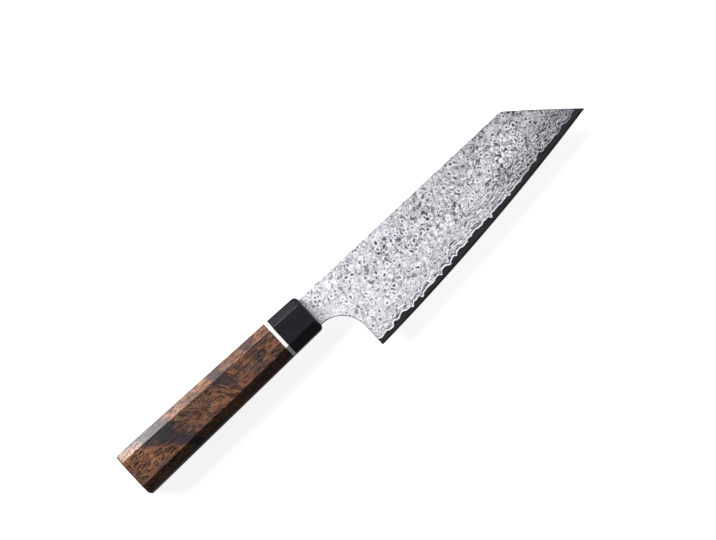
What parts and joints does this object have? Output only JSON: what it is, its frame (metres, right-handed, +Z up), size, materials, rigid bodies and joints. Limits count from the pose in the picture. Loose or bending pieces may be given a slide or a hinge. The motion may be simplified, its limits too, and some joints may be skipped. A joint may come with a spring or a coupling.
{
  "type": "bunka knife",
  "caption": "Kitchen knife with a broad, angular-tipped blade of patterned layered steel and an octagonal wooden handle with a black ferrule.",
  "frame": {"origin": "bottom centre of the box round the knife, which lies on its left side", "axes": "+X from the butt of the handle to the tip, +Y from the cutting edge to the spine, +Z up, out of the blade's right face"},
  "size_m": [0.309, 0.053, 0.023],
  "materials": {
    "core_steel": "satin",
    "patterned_steel": "satin",
    "black_horn": "gloss",
    "nickel_silver": "polished",
    "figured_wood": "satin",
    "dowel_wood": "matte",
    "resin": "gloss"
  },
  "bodies": {
    "root": {"core_steel": "core_steel", "cladding_right": "patterned_steel", "cladding_left": "patterned_steel", "ferrule": "black_horn", "spacer": "nickel_silver", "handle_body": "figured_wood", "dowel": "dowel_wood", "tang_bedding": "resin"}
  },
  "joints": []
}
